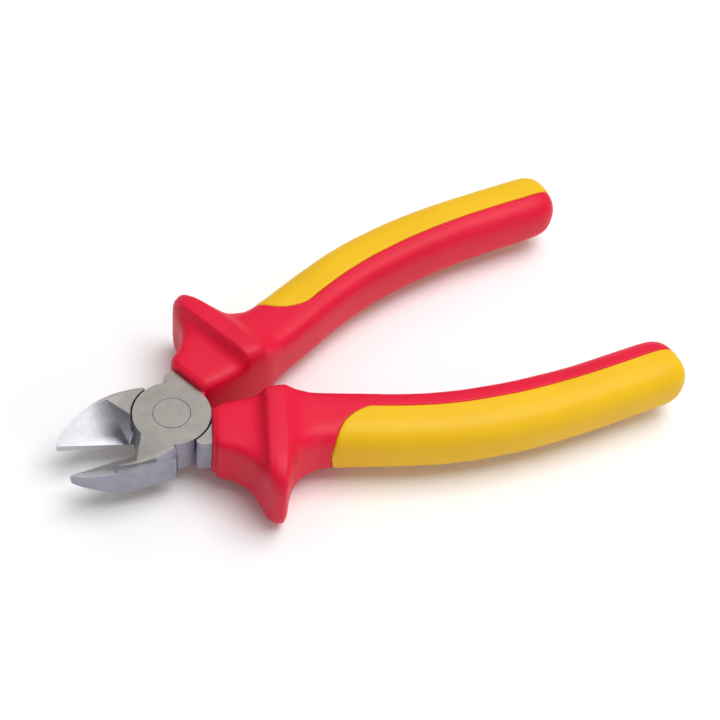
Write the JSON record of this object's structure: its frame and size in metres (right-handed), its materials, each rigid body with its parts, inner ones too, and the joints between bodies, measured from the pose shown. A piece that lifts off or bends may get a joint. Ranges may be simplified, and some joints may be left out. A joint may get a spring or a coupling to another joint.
{
  "type": "diagonal cutting pliers",
  "caption": "Lap-jointed side cutters with bevelled jaws, a flush rivet and two guarded insulated grips, each a rigid sleeve with a soft pad let into its outer side.",
  "frame": {"origin": "on the pivot axis, at the flat back face of the head", "axes": "+X from the jaws towards the handle ends along the tool's middle line, +Z along the pivot axis from the back of the head to its front, +Y towards the handle of the front half"},
  "size_m": [0.1541, 0.0806, 0.0224],
  "materials": {
    "tool_steel": "fine ground, satin",
    "rivet_steel": "ground flush with the head",
    "inner_insulation": "moulded, hidden",
    "red_sleeve": "moulded, satin",
    "yellow_pad": "moulded soft thermoplastic, satin"
  },
  "bodies": {
    "rear_body": {"rear_half": "tool_steel", "pivot_rivet": "rivet_steel", "rear_handle_liner": "inner_insulation", "rear_handle_sleeve": "red_sleeve", "rear_handle_pad": "yellow_pad"},
    "front_body": {"front_half": "tool_steel", "front_handle_liner": "inner_insulation", "front_handle_sleeve": "red_sleeve", "front_handle_pad": "yellow_pad"}
  },
  "joints": [
    {"name": "pivot", "type": "hinge", "parent": "rear_body", "child": "front_body", "pos_m": [0, 0, 0.005], "axis": [0, 0, 1], "range_deg": [-18.8, 11.2]}
  ]
}
